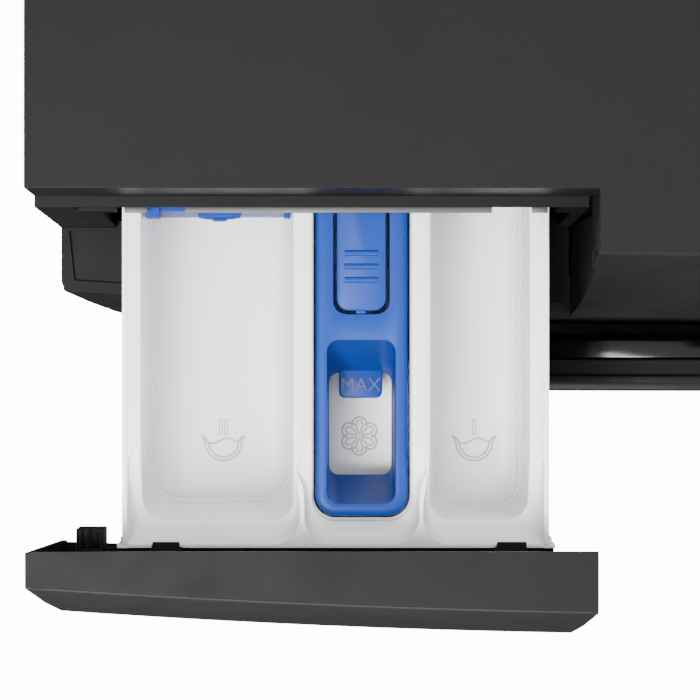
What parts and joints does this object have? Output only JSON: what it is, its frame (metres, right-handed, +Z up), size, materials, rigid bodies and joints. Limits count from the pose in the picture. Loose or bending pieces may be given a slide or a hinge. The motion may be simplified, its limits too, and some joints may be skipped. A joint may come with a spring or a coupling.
{
  "type": "front load washing machine",
  "caption": "Free-standing front load washing machine with its three-compartment detergent drawer pulled out, round door, drum, tub and belt drive.",
  "frame": {"origin": "centre of the footprint at floor level, with the detergent drawer open", "axes": "+X to the machine's right, +Y to its rear, +Z up"},
  "size_m": [0.6, 0.7136, 0.85],
  "materials": {
    "graphite_plastic": "fine satin moulded plastic, dark grey",
    "graphite_paint": "satin paint on steel sheet, dark grey",
    "black_plastic": "fine grain moulded plastic, black",
    "black_gloss": "high gloss, black",
    "tray_plastic": "satin moulded plastic, white",
    "insert_plastic": "satin moulded plastic, mid blue",
    "technical_plastic": "glass filled plastic, grey",
    "galvanised_steel": "zinc coated sheet, dull",
    "stainless_steel": "brushed stainless steel",
    "gasket_rubber": "soft grey elastomer",
    "black_rubber": "black elastomer",
    "counterweight_cast": "rough cast, painted grey",
    "door_glass": "clear pressed glass",
    "circuit_board": "green lacquered board in a housing"
  },
  "bodies": {
    "cabinet": {"worktop": "graphite_plastic", "left_side_panel": "graphite_paint", "right_side_panel": "graphite_paint", "rear_panel": "galvanised_steel", "rear_service_cover": "technical_plastic", "base_frame": "technical_plastic", "front_panel": "graphite_paint", "drawer_surround": "graphite_plastic", "control_panel": "graphite_plastic", "display_window": "black_gloss", "control_board": "circuit_board", "dispenser_housing": "technical_plastic", "dispenser_cover": "technical_plastic", "dispenser_hose": "black_rubber", "door_hinge_bracket": "galvanised_steel", "door_lock": "black_plastic", "door_gasket": "gasket_rubber", "tub_spring_left": "stainless_steel", "tub_spring_right": "stainless_steel", "tub_damper_left": "black_plastic", "tub_damper_right": "black_plastic", "drain_pump": "black_plastic", "inlet_valve": "tray_plastic", "cord_gland": "black_plastic", "drain_outlet": "black_plastic"},
    "drawer": {"drawer_front": "graphite_plastic", "drawer_inner_frame": "black_plastic", "drawer_tray": "tray_plastic", "softener_insert": "insert_plastic"},
    "release_tab": {"release_tab": "insert_plastic"},
    "detergent_gate": {"detergent_gate": "insert_plastic"},
    "door": {"door_frame": "graphite_plastic", "door_inner_ring": "black_gloss", "door_cover": "black_gloss", "door_glass": "door_glass", "door_hinge_leaf": "galvanised_steel"},
    "door_latch_hook": {"door_latch_hook": "galvanised_steel"},
    "tub": {"tub_front": "technical_plastic", "tub_rear": "technical_plastic", "front_counterweight": "counterweight_cast", "top_counterweight": "counterweight_cast", "heater": "stainless_steel", "motor": "galvanised_steel", "drive_belt": "black_rubber"},
    "drum": {"drum_shell": "stainless_steel", "drum_paddle_1": "tray_plastic", "drum_paddle_2": "tray_plastic", "drum_paddle_3": "tray_plastic", "drum_spider": "galvanised_steel", "drum_pulley": "stainless_steel"},
    "motor_pulley": {"motor_pulley": "stainless_steel"},
    "program_knob": {"program_knob": "graphite_plastic"},
    "start_button": {"start_button": "graphite_plastic"},
    "option_button": {"option_button": "graphite_plastic"},
    "filter_flap": {"filter_flap": "graphite_plastic"},
    "drain_filter": {"drain_filter": "black_plastic"},
    "foot_front_left": {"foot_front_left": "black_rubber"},
    "foot_rear_left": {"foot_rear_left": "black_rubber"},
    "foot_front_right": {"foot_front_right": "black_rubber"},
    "foot_rear_right": {"foot_rear_right": "black_rubber"}
  },
  "joints": [
    {"name": "drawer_slide", "type": "slide", "parent": "cabinet", "child": "drawer", "axis": [0, -1, 0], "range_m": [-0.1392, 0]},
    {"name": "release_tab_press", "type": "hinge", "parent": "drawer", "child": "release_tab", "pos_m": [-0.16465, -0.14524, 0.809], "axis": [1, 0, 0], "range_deg": [0, 5], "stiffness_Nm_per_rad": 0.6, "springref_deg": -1.72},
    {"name": "detergent_gate_swing", "type": "hinge", "parent": "drawer", "child": "detergent_gate", "pos_m": [-0.22475, -0.17324, 0.808], "axis": [1, 0, 0], "range_deg": [0, 80]},
    {"name": "door_swing", "type": "hinge", "parent": "cabinet", "child": "door", "pos_m": [-0.25, -0.21924, 0.44], "axis": [0, 0, -1], "range_deg": [0, 115]},
    {"name": "door_latch_pivot", "type": "hinge", "parent": "door", "child": "door_latch_hook", "pos_m": [0.201, -0.22424, 0.44], "axis": [0, 0, 1], "range_deg": [0, 6], "stiffness_Nm_per_rad": 0.5, "springref_deg": -2.86},
    {"name": "tub_float", "type": "slide", "parent": "cabinet", "child": "tub", "axis": [0, 0, 1], "range_m": [-0.008, 0.008], "stiffness_N_per_m": 30000, "springref_m": 0.02, "deforming": ["tub_spring_left", "tub_spring_right", "tub_damper_left", "tub_damper_right", "door_gasket"]},
    {"name": "drum_spin", "type": "hinge", "parent": "tub", "child": "drum", "pos_m": [0, 0.04476, 0.44], "axis": [0, 1, 0], "continuous": true},
    {"name": "motor_pulley_spin", "type": "hinge", "parent": "tub", "child": "motor_pulley", "pos_m": [0.05, 0.25476, 0.112], "axis": [0, 1, 0], "continuous": true},
    {"name": "program_knob_turn", "type": "hinge", "parent": "cabinet", "child": "program_knob", "pos_m": [0.03, -0.206, 0.795], "axis": [0, -0.9781, 0.2079], "continuous": true},
    {"name": "start_button_press", "type": "slide", "parent": "cabinet", "child": "start_button", "axis": [0, 0.9781, -0.2079], "range_m": [0, 0.0015], "stiffness_N_per_m": 600, "springref_m": -0.0008},
    {"name": "option_button_press", "type": "slide", "parent": "cabinet", "child": "option_button", "axis": [0, 0.9781, -0.2079], "range_m": [0, 0.0015], "stiffness_N_per_m": 600, "springref_m": -0.0008},
    {"name": "filter_flap_open", "type": "hinge", "parent": "cabinet", "child": "filter_flap", "pos_m": [0.22, -0.20774, 0.061], "axis": [1, 0, 0], "range_deg": [0, 90]},
    {"name": "drain_filter_turn", "type": "hinge", "parent": "cabinet", "child": "drain_filter", "pos_m": [0.22, -0.18124, 0.1], "axis": [0, 1, 0], "range_deg": [-100, 0]},
    {"name": "foot_front_left_turn", "type": "hinge", "parent": "cabinet", "child": "foot_front_left", "pos_m": [-0.255, -0.16024, 0.02], "axis": [0, 0, 1], "continuous": true},
    {"name": "foot_rear_left_turn", "type": "hinge", "parent": "cabinet", "child": "foot_rear_left", "pos_m": [-0.255, 0.29476, 0.02], "axis": [0, 0, 1], "continuous": true},
    {"name": "foot_front_right_turn", "type": "hinge", "parent": "cabinet", "child": "foot_front_right", "pos_m": [0.255, -0.16024, 0.02], "axis": [0, 0, 1], "continuous": true},
    {"name": "foot_rear_right_turn", "type": "hinge", "parent": "cabinet", "child": "foot_rear_right", "pos_m": [0.255, 0.29476, 0.02], "axis": [0, 0, 1], "continuous": true}
  ],
  "couplings": [
    {"joint": "motor_pulley_spin", "follows": "drum_spin", "ratio": 10.714}
  ]
}
